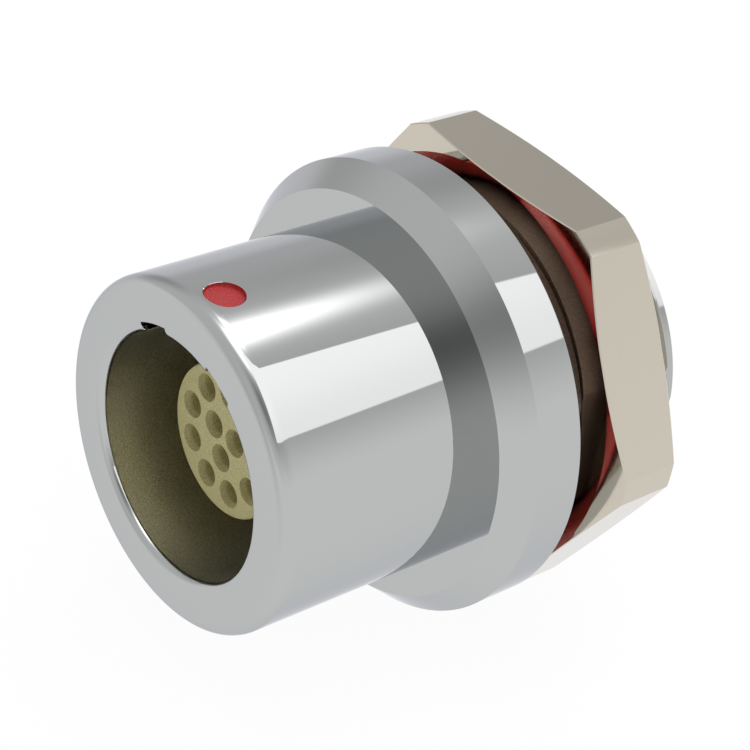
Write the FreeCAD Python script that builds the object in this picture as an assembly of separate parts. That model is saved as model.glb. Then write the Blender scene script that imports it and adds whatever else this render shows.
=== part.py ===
import FreeCAD, Part
import math
import os

# Sealed panel receptacle of a push-pull circular connector, size 2, twelve female contacts.
# Millimetres. The axis lies along Y and the mating face looks towards -Y.
# The origin is on the axis in the flange's rear face, where the panel seats. +Z is the key side.

# Shell, outside, from the mating face backwards
barrel_diameter = 19.2
barrel_length = 12.05
barrel_edge_radius = 0.75
flange_face_diameter = 22.8
flange_diameter = 25.5
flange_thickness = 4.4
flange_bevel_length = 1.55
rim_edge_break = 0.15
thread_diameter = 20.0
thread_pitch = 1.0
thread_groove_depth = 0.6
thread_crest_width = 0.125
thread_start_behind_panel_face = 1.6
thread_end_chamfer = 0.62
width_across_neck_flats = 18.6
shell_length_behind_panel_face = 10.25

# Shell, inside
mating_bore_diameter = 13.35
mouth_radius = 0.6
mating_bore_depth = 10.4
latch_groove_diameter = 14.9
latch_groove_depth_from_mouth = 6.6
latch_groove_width = 1.6
rear_bore_diameter = 15.5
rear_bore_lead_in = 0.3
keyway_count = 2
keyway_angle_between = 45.0
keyway_width = 2.1
keyway_root_diameter = 14.35
insert_slot_width = 1.6
insert_slot_root_diameter = 16.4

# Red alignment dot in the top of the barrel
dot_diameter = 2.15
dot_distance_from_mouth = 2.03
dot_recess_depth = 0.55
dot_enamel_thickness = 0.3

# Flange seal in its recess in the flange's rear face
seal_section_diameter = 1.9
seal_recess_depth = 1.35
seal_recess_diameter = 24.2
seal_gap_to_neck = 0.05
seal_gap_to_recess_floor = 0.02
seal_section_sides = 12

# Hexagon nut
nut_width_across_flats = 24.0
nut_corner_diameter = 26.86
nut_bearing_diameter = 24.0
nut_thickness = 4.4
nut_chamfer_drop = 0.42
nut_thread_chamfer = 0.5
nut_thread_clearance = 0.05
panel_gap = 2.6

# Contacts
outer_contact_count = 9
outer_contact_circle_diameter = 5.86
inner_contact_count = 3
inner_contact_circle_diameter = 2.12
socket_diameter = 1.2
socket_recess = 1.0
socket_bore_diameter = 0.72
socket_bore_depth = 5.5
socket_slit_width = 0.16
socket_slit_length = 4.5
contact_collar_diameter = 1.5
contact_collar_length = 1.0
cup_bore_diameter = 0.85
cup_bore_depth = 2.6
cup_open_length = 1.5
cup_reach_behind_shell = 1.95

# Insulators, and the carrier of two half shells round the front one
insert_diameter = 8.45
insert_depth_from_mouth = 3.2
insert_collar_height = 0.6
insert_collar_thickness = 1.0
insert_collar_from_joint = 1.5
insert_key_width = 1.4
insert_key_height = 0.7
carrier_length = 4.0
carrier_split_gap = 0.05
insulator_rear_thickness = 5.0
insulator_clearance = 0.05
contact_hole_clearance = 0.05
insulator_tab_clearance = 0.05

# Earthing crown
crown_collar_thickness = 0.8
crown_gap_to_bore = 0.125
crown_wall = 0.25
crown_finger_length = 2.4
crown_finger_set = 0.35
crown_finger_count = 12
crown_slot_width = 0.5

# Retaining ring and sealing compound
ring_inner_diameter = 12.2
ring_thickness = 2.0
ring_slot_count = 4
ring_slot_width = 1.2
ring_slot_depth = 0.9
compound_depth_below_edge = 1.0
compound_gap = 0.02

# Stations along the axis, worked out from the sizes above
mouth_y = -(barrel_length + flange_thickness)
flange_front_y = -flange_thickness
shell_rear_y = shell_length_behind_panel_face
shoulder_y = mouth_y + mating_bore_depth
insert_face_y = mouth_y + insert_depth_from_mouth
crown_rear_y = shoulder_y + crown_collar_thickness
insulator_joint_y = crown_rear_y + carrier_length
insert_collar_rear_y = insulator_joint_y - insert_collar_from_joint
insert_collar_front_y = insert_collar_rear_y - insert_collar_thickness
insulator_rear_y = insulator_joint_y + insulator_rear_thickness
ring_rear_y = insulator_rear_y + ring_thickness
compound_rear_y = shell_rear_y - compound_depth_below_edge
cup_rear_y = shell_rear_y + cup_reach_behind_shell
nut_front_y = panel_gap
nut_rear_y = panel_gap + nut_thickness

insulator_radius = rear_bore_diameter / 2 - insulator_clearance
contact_hole_radius = socket_diameter / 2 + contact_hole_clearance
collar_seat_radius = contact_collar_diameter / 2 + contact_hole_clearance

AXIS = FreeCAD.Vector(0, 1, 0)
CENTRE = FreeCAD.Vector(0, 0, 0)


def at(radius, y):
    """A point of a turned section: radius from the axis, station along it."""
    return FreeCAD.Vector(radius, y, 0)


def turned(outline):
    """Revolve a closed section about the axis. A step of three items is a rounded corner:
    the point before it, a point on the arc and the arc's end."""
    edges = []
    here = outline[0]
    for step in outline[1:]:
        if isinstance(step, tuple):
            middle, end = step
            edges.append(Part.Arc(here, middle, end).toShape())
            here = end
        else:
            edges.append(Part.LineSegment(here, step).toShape())
            here = step
    if not here.isEqual(outline[0], 1e-6):
        edges.append(Part.LineSegment(here, outline[0]).toShape())
    return Part.Face(Part.Wire(edges)).revolve(CENTRE, AXIS, 360)


def rounded(corner, start, end):
    """A quarter-round step between two points that lie level and square with the corner."""
    radius = (end - corner).Length
    centre = start + end - corner
    middle = centre + (corner - centre).normalize() * radius
    return (middle, end)


def rod(diameter, start_y, end_y, x=0.0, z=0.0):
    """A cylinder along Y between two stations."""
    return Part.makeCylinder(diameter / 2, end_y - start_y, FreeCAD.Vector(x, start_y, z), AXIS)


def block(width_x, low_z, high_z, start_y, end_y):
    """A box centred on X = 0."""
    corner = FreeCAD.Vector(-width_x / 2, start_y, low_z)
    return Part.makeBox(width_x, end_y - start_y, high_z - low_z, corner)


def turn(shape, degrees):
    """A copy turned about the axis; positive goes from +Z towards +X."""
    copy = shape.copy()
    copy.rotate(CENTRE, AXIS, degrees)
    return copy


def contact_places():
    """X and Z of each contact: nine on the outer circle from the top, then three inside."""
    places = []
    for index in range(outer_contact_count):
        angle = math.radians(index * 360.0 / outer_contact_count)
        radius = outer_contact_circle_diameter / 2
        places.append((radius * math.sin(angle), radius * math.cos(angle)))
    for index in range(inner_contact_count):
        angle = math.radians(180.0 + index * 360.0 / inner_contact_count)
        radius = inner_contact_circle_diameter / 2
        places.append((radius * math.sin(angle), radius * math.cos(angle)))
    return places


def threaded_neck():
    """Section points of the neck from the flange back, with the thread's grooves as plain rings."""
    crest = thread_diameter / 2
    root = crest - thread_groove_depth
    half_crest = thread_crest_width / 2
    start_y = thread_start_behind_panel_face
    groove_count = int((shell_rear_y - thread_end_chamfer - start_y) / thread_pitch)
    points = [at(crest, -seal_recess_depth)]
    for index in range(groove_count):
        front_y = start_y + index * thread_pitch
        points.append(at(crest, front_y + half_crest))
        points.append(at(root, front_y + thread_pitch / 2))
        points.append(at(crest, front_y + thread_pitch - half_crest))
    points.append(at(crest, shell_rear_y - thread_end_chamfer))
    points.append(at(crest - thread_end_chamfer, shell_rear_y))
    return points


def make_shell():
    """The turned shell with its keyways, neck flats, dot recess and insert slot."""
    barrel = barrel_diameter / 2
    bore = mating_bore_diameter / 2
    flange = flange_diameter / 2
    rear_bore = rear_bore_diameter / 2
    groove = latch_groove_diameter / 2
    groove_front = mouth_y + latch_groove_depth_from_mouth
    groove_rear = groove_front + latch_groove_width
    groove_slope = groove - bore
    mouth_end = at(bore + mouth_radius, mouth_y)
    body = turned([
        mouth_end,
        at(barrel - barrel_edge_radius, mouth_y),
        rounded(at(barrel, mouth_y), at(barrel - barrel_edge_radius, mouth_y),
                at(barrel, mouth_y + barrel_edge_radius)),
        at(barrel, flange_front_y),
        at(flange_face_diameter / 2, flange_front_y),
        at(flange, flange_front_y + flange_bevel_length),
        at(flange, -rim_edge_break),
        at(flange - rim_edge_break, 0),
        at(seal_recess_diameter / 2, 0),
        at(seal_recess_diameter / 2, -seal_recess_depth),
        *threaded_neck(),
        at(rear_bore + rear_bore_lead_in, shell_rear_y),
        at(rear_bore, shell_rear_y - rear_bore_lead_in),
        at(rear_bore, shoulder_y),
        at(bore, shoulder_y),
        at(bore, groove_rear + groove_slope),
        at(groove, groove_rear),
        at(groove, groove_front),
        at(bore, groove_front),
        at(bore, mouth_y + mouth_radius),
        rounded(at(bore, mouth_y), at(bore, mouth_y + mouth_radius), mouth_end),
    ])
    cuts = []
    first_key = -keyway_angle_between * (keyway_count - 1) / 2
    keyway = block(keyway_width, 0, keyway_root_diameter, mouth_y, groove_front)
    keyway = keyway.common(rod(keyway_root_diameter, mouth_y, groove_front))
    for index in range(keyway_count):
        cuts.append(turn(keyway, first_key + index * keyway_angle_between))
    slot = block(insert_slot_width, 0, insert_slot_root_diameter, shoulder_y, shell_rear_y)
    cuts.append(slot.common(rod(insert_slot_root_diameter, shoulder_y, shell_rear_y)))
    flat = block(2 * flange, width_across_neck_flats / 2, flange_diameter, 0, shell_rear_y)
    cuts.append(turn(flat, 90))
    cuts.append(turn(flat, -90))
    cuts.append(Part.makeCylinder(dot_diameter / 2, barrel, dot_floor(), FreeCAD.Vector(0, 0, 1)))
    return body.cut(cuts)


def dot_floor():
    """Centre of the floor of the dot's recess."""
    return FreeCAD.Vector(0, mouth_y + dot_distance_from_mouth, barrel_diameter / 2 - dot_recess_depth)


def make_alignment_dot():
    """The red enamel that fills the bottom of its recess."""
    return Part.makeCylinder(dot_diameter / 2, dot_enamel_thickness, dot_floor(), FreeCAD.Vector(0, 0, 1))


def make_flange_seal():
    """The O-ring, seated on the recess floor and round the neck. Its round section has flat sides
    in the solid, which takes a quarter of a torus's facets."""
    section = seal_section_diameter / 2
    ring = thread_diameter / 2 + seal_gap_to_neck + section
    middle_y = -seal_recess_depth + seal_gap_to_recess_floor + section
    reach = section / math.cos(math.pi / seal_section_sides)
    outline = []
    for side in range(seal_section_sides):
        angle = 2 * math.pi * (side + 0.5) / seal_section_sides
        outline.append(at(ring + reach * math.cos(angle), middle_y + reach * math.sin(angle)))
    return turned(outline)


def make_hex_nut():
    """The hexagon nut: a turned blank with bevelled faces, milled to six flats, one on top."""
    hole = thread_diameter / 2 + nut_thread_clearance
    lead = hole + nut_thread_chamfer
    bearing = nut_bearing_diameter / 2
    corner = nut_corner_diameter / 2
    blank = turned([
        at(lead, nut_front_y),
        at(bearing, nut_front_y),
        at(corner, nut_front_y + nut_chamfer_drop),
        at(corner, nut_rear_y - nut_chamfer_drop),
        at(bearing, nut_rear_y),
        at(lead, nut_rear_y),
        at(hole, nut_rear_y - nut_thread_chamfer),
        at(hole, nut_front_y + nut_thread_chamfer),
    ])
    apothem = nut_width_across_flats / 2
    corners = []
    for index in range(7):
        angle = math.radians(30 + index * 60)
        reach = apothem / math.cos(math.radians(30))
        corners.append(FreeCAD.Vector(reach * math.sin(angle), nut_front_y, reach * math.cos(angle)))
    prism = Part.Face(Part.makePolygon(corners)).extrude(FreeCAD.Vector(0, nut_thickness, 0))
    return blank.common(prism)


def insulator_tab(start_y, end_y):
    """The tab that stops an insulator turning in the shell's slot."""
    root = insert_slot_root_diameter - 2 * insulator_tab_clearance
    width = insert_slot_width - 2 * insulator_tab_clearance
    return block(width, 0, root, start_y, end_y).common(rod(root, start_y, end_y))


def insert_body(clearance):
    """The front insert's outside with its collar and key, or with a clearance the room for it."""
    front_y = insert_collar_front_y
    rear_y = insert_collar_rear_y + clearance
    collar = insert_diameter / 2 + insert_collar_height + clearance
    key = collar + insert_key_height
    body = rod(insert_diameter + 2 * clearance, insert_face_y, insulator_joint_y)
    return body.fuse([
        rod(2 * collar, front_y, rear_y),
        block(insert_key_width + 2 * clearance, 0, key, front_y, rear_y),
    ])


def make_insulator_front():
    """The pale insert: a keyed round rod with a hole and a collar seat for each contact."""
    body = insert_body(0)
    seat_y = insulator_joint_y - contact_collar_length - contact_hole_clearance
    holes = []
    for x, z in contact_places():
        holes.append(rod(2 * contact_hole_radius, insert_face_y, insulator_joint_y, x, z))
        holes.append(rod(2 * collar_seat_radius, seat_y, insulator_joint_y, x, z))
    return body.cut(holes).removeSplitter()


def make_insert_carrier():
    """The two half shells that clamp the front insert: the upper with the tab, then the lower."""
    sleeve = rod(2 * insulator_radius, crown_rear_y, insulator_joint_y)
    sleeve = sleeve.fuse(insulator_tab(crown_rear_y, insulator_joint_y))
    sleeve = sleeve.cut(insert_body(insulator_clearance))
    reach = insert_slot_root_diameter
    upper = block(2 * reach, carrier_split_gap / 2, reach, crown_rear_y, insulator_joint_y)
    lower = block(2 * reach, -reach, -carrier_split_gap / 2, crown_rear_y, insulator_joint_y)
    return [sleeve.common(upper), sleeve.common(lower)]


def make_insulator_rear():
    """The disc behind the contacts' collars, with a hole for each contact."""
    body = rod(2 * insulator_radius, insulator_joint_y, insulator_rear_y)
    body = body.fuse(insulator_tab(insulator_joint_y, insulator_rear_y))
    holes = [rod(2 * contact_hole_radius, insulator_joint_y, insulator_rear_y, x, z)
             for x, z in contact_places()]
    return body.cut(holes).removeSplitter()


def make_contact(x, z):
    """A female contact: slit socket in front, collar, and a solder cup behind."""
    socket_front_y = insert_face_y + socket_recess
    collar_front_y = insulator_joint_y - contact_collar_length
    body = rod(socket_diameter, socket_front_y, cup_rear_y)
    body = body.fuse(rod(contact_collar_diameter, collar_front_y, insulator_joint_y))
    slit = block(2 * socket_diameter, -socket_slit_width / 2, socket_slit_width / 2,
                 socket_front_y, socket_front_y + socket_slit_length)
    open_side = block(2 * socket_diameter, 0, socket_diameter, cup_rear_y - cup_open_length, cup_rear_y)
    body = body.cut([
        rod(socket_bore_diameter, socket_front_y, socket_front_y + socket_bore_depth),
        slit,
        rod(cup_bore_diameter, cup_rear_y - cup_bore_depth, cup_rear_y),
        open_side,
    ])
    body.translate(FreeCAD.Vector(x, 0, z))
    return body


def make_earthing_crown():
    """The spring ring: a collar against the shell's shoulder and fingers set inwards."""
    outer = insulator_radius
    sleeve = mating_bore_diameter / 2 - crown_gap_to_bore
    tip = sleeve - crown_finger_set
    tip_y = shoulder_y - crown_finger_length
    body = turned([
        at(outer, shoulder_y),
        at(outer, crown_rear_y),
        at(sleeve - crown_wall, crown_rear_y),
        at(sleeve - crown_wall, shoulder_y),
        at(tip - crown_wall, tip_y),
        at(tip, tip_y),
        at(sleeve, shoulder_y),
    ])
    slot = block(crown_slot_width, 0, sleeve + crown_wall, tip_y, shoulder_y)
    slots = [turn(slot, (index + 0.5) * 360.0 / crown_finger_count)
             for index in range(crown_finger_count)]
    return body.cut(slots)


def make_retaining_ring():
    """The ring behind the insulators, with slots for a pin spanner."""
    body = rod(2 * insulator_radius, insulator_rear_y, ring_rear_y)
    body = body.cut(rod(ring_inner_diameter, insulator_rear_y, ring_rear_y))
    slot = block(ring_slot_width, 0, insulator_radius + insulator_clearance,
                 ring_rear_y - ring_slot_depth, ring_rear_y)
    slots = [turn(slot, index * 360.0 / ring_slot_count) for index in range(ring_slot_count)]
    return body.cut(slots)


def make_sealing_compound(ring):
    """The cast resin round the ring and the contacts."""
    body = rod(2 * insulator_radius, insulator_rear_y, compound_rear_y)
    body = body.fuse(insulator_tab(ring_rear_y, compound_rear_y))
    voids = [ring]
    for x, z in contact_places():
        voids.append(rod(socket_diameter + 2 * compound_gap, insulator_rear_y, compound_rear_y, x, z))
    return body.cut(voids).removeSplitter()


def save(name, shape):
    """Write one piece, named for its node."""
    shape.exportStep(os.path.join("parts", name + ".step"))
    print(name, len(shape.Solids), round(shape.Volume, 2), shape.isValid())


os.makedirs("parts", exist_ok=True)
save("shell", make_shell())
save("alignment_dot", make_alignment_dot())
save("flange_seal", make_flange_seal())
save("hex_nut", make_hex_nut())
save("earthing_crown", make_earthing_crown())
save("insulator_front", make_insulator_front())
for half, carrier in zip(("upper", "lower"), make_insert_carrier()):
    save("insert_carrier_" + half, carrier)
save("insulator_rear", make_insulator_rear())
retaining_ring = make_retaining_ring()
save("retaining_ring", retaining_ring)
save("sealing_compound", make_sealing_compound(retaining_ring))
for number, place in enumerate(contact_places(), start=1):
    save("contact_%02d" % number, make_contact(*place))
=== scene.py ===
# %% [markdown]
# # A push-pull circular connector
# This notebook dresses a panel receptacle: the half of a push-pull connector that is bolted into a
# panel. Its chrome-plated shell, nickel-plated nut, red seal and pale insert are made here over
# the CAD model, which stays the fixed frame for every size and place.

# %% Load the CAD frame
import math

import bmesh
import bpy
from mathutils import Matrix, Vector


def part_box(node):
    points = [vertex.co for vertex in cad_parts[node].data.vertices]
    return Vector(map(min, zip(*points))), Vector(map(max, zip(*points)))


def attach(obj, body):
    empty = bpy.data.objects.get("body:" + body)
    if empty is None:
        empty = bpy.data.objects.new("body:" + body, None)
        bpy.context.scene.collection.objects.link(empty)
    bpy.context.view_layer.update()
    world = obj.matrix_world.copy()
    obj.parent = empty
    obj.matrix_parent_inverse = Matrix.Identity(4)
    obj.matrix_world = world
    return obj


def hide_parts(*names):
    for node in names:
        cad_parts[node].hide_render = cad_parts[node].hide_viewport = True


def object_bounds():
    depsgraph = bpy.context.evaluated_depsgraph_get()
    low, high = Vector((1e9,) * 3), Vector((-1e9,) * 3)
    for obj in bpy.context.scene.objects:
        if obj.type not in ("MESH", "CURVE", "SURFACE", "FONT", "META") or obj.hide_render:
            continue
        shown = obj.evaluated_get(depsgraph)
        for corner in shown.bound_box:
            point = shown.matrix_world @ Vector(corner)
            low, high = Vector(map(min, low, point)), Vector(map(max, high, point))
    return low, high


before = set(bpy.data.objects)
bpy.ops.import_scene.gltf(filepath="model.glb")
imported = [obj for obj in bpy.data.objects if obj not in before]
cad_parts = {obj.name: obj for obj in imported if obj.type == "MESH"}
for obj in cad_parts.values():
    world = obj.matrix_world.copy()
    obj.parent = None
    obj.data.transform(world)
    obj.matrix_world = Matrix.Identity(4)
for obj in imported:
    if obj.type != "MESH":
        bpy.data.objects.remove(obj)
cad_low, cad_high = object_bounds()
bpy.context.scene.view_settings.view_transform = "Standard"
print("CAD box in mm:", [round(1000 * (b - a), 2) for a, b in zip(cad_low, cad_high)])

# %% [markdown]
# ## Sizes
# The axis runs along Y. The mating face looks towards -Y, the flange seats on the panel at Y = 0,
# and the red dot is on top. Sizes are in millimetres, as on a drawing, and one factor turns them
# into Blender's metres. Where a piece starts and ends is read from its CAD node's own box.

# %% Sizes in millimetres
MM = 0.001


def ends(node):
    """Where a CAD node starts and ends along the axis."""
    low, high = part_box(node)
    return low.y / MM, high.y / MM


MOUTH_Y, SHELL_REAR_Y = ends("shell")
NUT_FRONT_Y, NUT_REAR_Y = ends("hex_nut")
FLANGE_FRONT_Y = -4.4
BARREL_RADIUS = 9.6
BORE_RADIUS = 6.675
MOUTH_ROUNDING = 0.45
BARREL_ROUNDING = 0.75
FLANGE_FACE_RADIUS = 11.4
FLANGE_RADIUS = 12.75
BEVEL_REAR_Y = -2.85
RECESS_RADIUS = 12.1
RECESS_FLOOR_Y = -1.35
NECK_RADIUS = 10.0
NECK_FLAT = 9.3
SHOULDER_Y = -6.05
GROOVE_FRONT_Y = -9.85
GROOVE_REAR_Y = -8.25
GROOVE_RAMP = 0.75
GROOVE_RADIUS = 7.45
REAR_BORE_RADIUS = 7.75
REAR_CHAMFER = 0.3
THREAD_START_Y = 2.1
THREAD_RUNOUT = 0.6
print("mating face at", round(MOUTH_Y, 2), "and rear end at", round(SHELL_REAR_Y, 2))

# %% [markdown]
# ## A skin of points and faces
# Plated metal shows every flaw in its reflections, so the turned surfaces are built ring by ring
# instead of being cut with booleans. A ring is a circle of points about the axis. Two rings with
# the same number of points are bridged with quads. Two rings that lie in one plane and differ in
# number, such as a keyed hole inside a round face, are stitched with triangles, which a flat face
# hides completely.

# %% The skin
COLUMNS = 240


def around(point):
    """The point's angle about the axis, from the top towards +X."""
    return math.atan2(point[0], point[2]) % math.tau


class Skin:
    """Collects points in millimetres and the faces between them."""

    def __init__(self):
        self.points = []
        self.faces = []

    def ring(self, points):
        start = len(self.points)
        self.points.extend(points)
        return list(range(start, len(self.points)))

    def bridge(self, first, second, skip=()):
        count = len(first)
        for i in range(count):
            j = (i + 1) % count
            if i not in skip:
                self.faces.append((first[i], first[j], second[j], second[i]))

    def bridge_all(self, rings):
        made = [self.ring(points) for points in rings]
        for first, second in zip(made, made[1:]):
            self.bridge(first, second)
        return made[0], made[-1]

    def bridge_and_close(self, rings):
        """Bridges the rings and puts a face on either end."""
        for ring in self.bridge_all(rings):
            self.faces.append(tuple(ring))

    def stitch(self, first, second):
        a = sorted(first, key=lambda i: around(self.points[i]))
        b = sorted(second, key=lambda i: around(self.points[i]))
        turn_a = [around(self.points[i]) for i in a] + [math.tau + around(self.points[a[0]])]
        turn_b = [around(self.points[i]) for i in b] + [math.tau + around(self.points[b[0]])]
        i = j = 0
        while i < len(a) or j < len(b):
            if j == len(b) or (i < len(a) and turn_a[i + 1] <= turn_b[j + 1]):
                self.faces.append((a[i], a[(i + 1) % len(a)], b[j % len(b)]))
                i += 1
            else:
                self.faces.append((a[i % len(a)], b[(j + 1) % len(b)], b[j]))
                j += 1


# %% [markdown]
# ## From a skin to an object
# Points that coincide are welded and the faces are turned outwards. Smooth shading with sharp
# edges kept, and normals weighted by face area, leaves large flats flat and lets small roundings
# catch a line of light, as a plated edge does.

# %% Finish a mesh
def shade(thing, sharp_degrees=24):
    thing.data.shade_smooth()
    thing.data.set_sharp_from_angle(angle=math.radians(sharp_degrees))
    even = thing.modifiers.new("even shading", "WEIGHTED_NORMAL")
    even.keep_sharp = True
    return thing


def to_object(name, skin, material=None):
    mesh = bpy.data.meshes.new(name)
    work = bmesh.new()
    corners = [work.verts.new(Vector(p) * MM) for p in skin.points]
    for face in skin.faces:
        work.faces.new([corners[i] for i in face])
    bmesh.ops.remove_doubles(work, verts=work.verts, dist=1.5e-6)
    bmesh.ops.dissolve_degenerate(work, dist=1e-7, edges=work.edges)
    bmesh.ops.recalc_face_normals(work, faces=work.faces)
    open_edges = sum(1 for edge in work.edges if len(edge.link_faces) != 2)
    print(name, "faces", len(work.faces), "open edges", open_edges,
          "volume mm3", round(work.calc_volume() / MM ** 3, 1))
    work.to_mesh(mesh)
    work.free()
    thing = bpy.data.objects.new(name, mesh)
    bpy.context.scene.collection.objects.link(thing)
    if material:
        mesh.materials.append(material)
    return thing


# %% [markdown]
# ## Sections with rounded corners
# A turned piece is drawn as half a section: corners with a radius, a station along the axis and a
# rounding. Each rounding becomes a short arc that is tangent to both sides.

# %% Round a section and turn it
def rounded(corners, steps=6):
    """Corners are (radius, y, rounding). The first and the last stay sharp."""
    path = [corners[0][:2]]
    for before, here, after in zip(corners, corners[1:], corners[2:]):
        if not here[2]:
            path.append(here[:2])
            continue
        corner = Vector(here[:2])
        back = (Vector(before[:2]) - corner).normalized()
        ahead = (Vector(after[:2]) - corner).normalized()
        half = back.angle(ahead) / 2
        centre = corner + (back + ahead).normalized() * (here[2] / math.sin(half))
        start = corner + back * (here[2] / math.tan(half)) - centre
        end = corner + ahead * (here[2] / math.tan(half)) - centre
        swing = start.angle(end)
        for k in range(steps + 1):
            share = k / steps
            spoke = start * math.sin((1 - share) * swing) + end * math.sin(share * swing)
            path.append(tuple(centre + spoke / math.sin(swing)))
    path.append(corners[-1][:2])
    return path


def at(radius, y, angle):
    return (radius * math.sin(angle), y, radius * math.cos(angle))


def circle(radius, y, turns):
    return [at(radius, y, angle) for angle in turns]


def even_turns(count):
    return [math.tau * i / count for i in range(count)]


def turned(name, corners, material=None, columns=COLUMNS, closed=True, steps=6):
    """A closed section becomes a ring; an open one starts and ends on the axis."""
    skin = Skin()
    path = rounded(corners + [corners[0]] if closed else corners, steps)
    skin.bridge_all([circle(r, y, even_turns(columns)) for r, y in path])
    return to_object(name, skin, material)


# %% [markdown]
# ## Colours and nodes
# Colours are written as sRGB hex values, as a colour picker shows them, and one function makes
# them linear. One helper adds a node, sets it up and links its inputs. Others make the noise and
# the grain that every material here uses.

# %% Colour and node helpers
def colour(hex_value):
    channels = [int(hex_value[i:i + 2], 16) / 255 for i in (1, 3, 5)]
    return [c / 12.92 if c <= 0.04045 else ((c + 0.055) / 1.055) ** 2.4 for c in channels] + [1.0]


def add(tree, kind, inputs=None, **settings):
    node = tree.nodes.new(kind)
    for name, value in settings.items():
        setattr(node, name, value)
    for name, value in (inputs or {}).items():
        if isinstance(value, bpy.types.NodeSocket):
            tree.links.new(value, node.inputs[name])
        else:
            node.inputs[name].default_value = value
    return node


def new_material(name):
    material = bpy.data.materials.new(name)
    material.use_nodes = True
    material.node_tree.nodes.clear()
    return material, material.node_tree


def noise(tree, place, width_mm, detail, **more):
    return add(tree, "ShaderNodeTexNoise", {"Vector": place, "Scale": 1 / (width_mm * MM),
                                            "Detail": detail, **more}).outputs["Fac"]


def add_grain(tree, shader, grain, spread, low, high, height_mm, strength):
    """The grain mixes two colours, more softly with a wider spread, and is a shallow bump."""
    share = add(tree, "ShaderNodeMapRange", {"Value": grain, "From Min": 0.5 - spread / 2,
                                             "From Max": 0.5 + spread / 2}).outputs["Result"]
    tint = add(tree, "ShaderNodeMix", {"Factor": share, "A": colour(low), "B": colour(high)},
               data_type="RGBA").outputs["Result"]
    tree.links.new(tint, shader.inputs["Base Color"])
    bump = add(tree, "ShaderNodeBump", {"Height": grain, "Distance": height_mm * MM,
                                        "Strength": strength}).outputs["Normal"]
    tree.links.new(bump, shader.inputs["Normal"])


def close_material(tree, shader):
    add(tree, "ShaderNodeOutputMaterial", {"Surface": shader.outputs["BSDF"]})


# %% [markdown]
# ## Chrome plate, and the nickel under it
# The shell is turned from brass and chrome plated. Chrome is a cool, slightly dark mirror, and its
# reflection stays as dark near the silhouette, which Specular Tint sets. Polishing on the lathe
# leaves hairlines a few thousandths of a millimetre wide. They run round the axis and are far too
# fine to show, so they are drawn 0.08 mm wide and only vary the roughness a little. A soft cloud
# 3 mm across stands for wiping and handling. Chrome hardly reaches into a bore or into the corner
# behind a flange, and those surfaces aren't polished. There the warmer, duller nickel plate under
# the chrome shows, satin and finely grained. Behind the flange it is drawn darker and browner than
# nickel is, as painted shade for the narrow gap between flange and nut. Its real grain is too fine
# to show and is drawn 0.07 mm wide. In the bore it is tinted olive, a painted reflection of the
# pale insert added to the real one. The thread is chromed again, with the slight blur that a cut
# thread keeps.

# %% Plated metal, turned
def turned_metal(name, base, edge, smooth, hazy, hairline_mm, cloud_mm,
                 dull=None, grain_mm=0.0, grain_height_mm=0.0):
    """Roughness runs from smooth to hazy. A grain mixes in the dull colour and is a bump."""
    material, tree = new_material(name)
    place = add(tree, "ShaderNodeTexCoord").outputs["Object"]
    parts = add(tree, "ShaderNodeSeparateXYZ", {"Vector": place}).outputs
    across = add(tree, "ShaderNodeCombineXYZ", {"X": parts["X"], "Y": parts["Z"]}).outputs[0]
    radius = add(tree, "ShaderNodeVectorMath", {0: across}, operation="LENGTH").outputs["Value"]
    lathe = add(tree, "ShaderNodeCombineXYZ", {"X": radius, "Y": parts["Y"]}).outputs[0]
    hairlines = noise(tree, lathe, hairline_mm, 2.0)
    clouds = noise(tree, place, cloud_mm, 3.0)
    mixed = add(tree, "ShaderNodeMath", {0: hairlines, 1: clouds}, operation="MULTIPLY").outputs[0]
    rough = add(tree, "ShaderNodeMapRange", {"Value": mixed, "From Min": 0.1, "From Max": 0.45,
                                             "To Min": smooth, "To Max": hazy}).outputs["Result"]
    shader = add(tree, "ShaderNodeBsdfPrincipled", {"Base Color": colour(base), "Metallic": 1.0,
                                                    "Roughness": rough, "Specular Tint": colour(edge)})
    if dull:
        grain = noise(tree, place, grain_mm, 2.0)
        add_grain(tree, shader, grain, 0.4, dull, base, grain_height_mm, 1.0)
    close_material(tree, shader)
    return material


HAIRLINE = 0.08
WIPED_CLOUD = 3.0
NICKEL_GRAIN = 0.07
polished_chrome = turned_metal("polished chrome plate", "#B9BBBA", "#DEDFE5", 0.02, 0.05,
                               HAIRLINE, WIPED_CLOUD)
cut_chrome = turned_metal("chrome plate on the thread", "#B5B6B4", "#D6D7DC", 0.07, 0.12,
                          HAIRLINE, WIPED_CLOUD)
# Painted shade: this nickel is drawn darker and browner than it is, for the shade in the gap between
# flange and nut.
nickel_with_painted_gap_shade = turned_metal("nickel underplate with painted gap shade", "#A3968A", "#AEA59C", 0.42, 0.5,
                           HAIRLINE, WIPED_CLOUD, "#7A6E65", NICKEL_GRAIN, 0.006)
# Painted reflection: the olive tint adds the pale insert's reflected colour to the bore's own reflection.
bore_nickel_with_painted_olive = turned_metal("bore nickel with painted olive reflection", "#E8E6D4", "#DEDFE5", 0.32, 0.4,
                            HAIRLINE, WIPED_CLOUD, "#B2B0A1", NICKEL_GRAIN, 0.016)
for metal in (polished_chrome, cut_chrome, nickel_with_painted_gap_shade, bore_nickel_with_painted_olive):
    print(metal.name, "has", len(metal.node_tree.nodes), "nodes")

# %% [markdown]
# ## Rings with keyways
# Two keyways run along the mating bore, 23 degrees either side of the dot, so the plug goes in
# one way only. A third slot, in the rear bore, keys the insert's carrier. A keyed ring is the
# bore's circle with a parallel-sided notch at each keyway, whose two edges are rounded a little.
# Rings with the same keys have the same number of points, so they can be bridged even where the
# mouth's rounding swallows the notch.

# %% Keyed rings
KEYWAYS = [(-23.2, 2.2, 7.23), (23.2, 2.2, 7.23)]
INSERT_SLOT = [(0.0, 1.6, 8.2)]
KEYWAY_EDGE = 0.08
NOTCH_POINTS = 15


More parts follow.
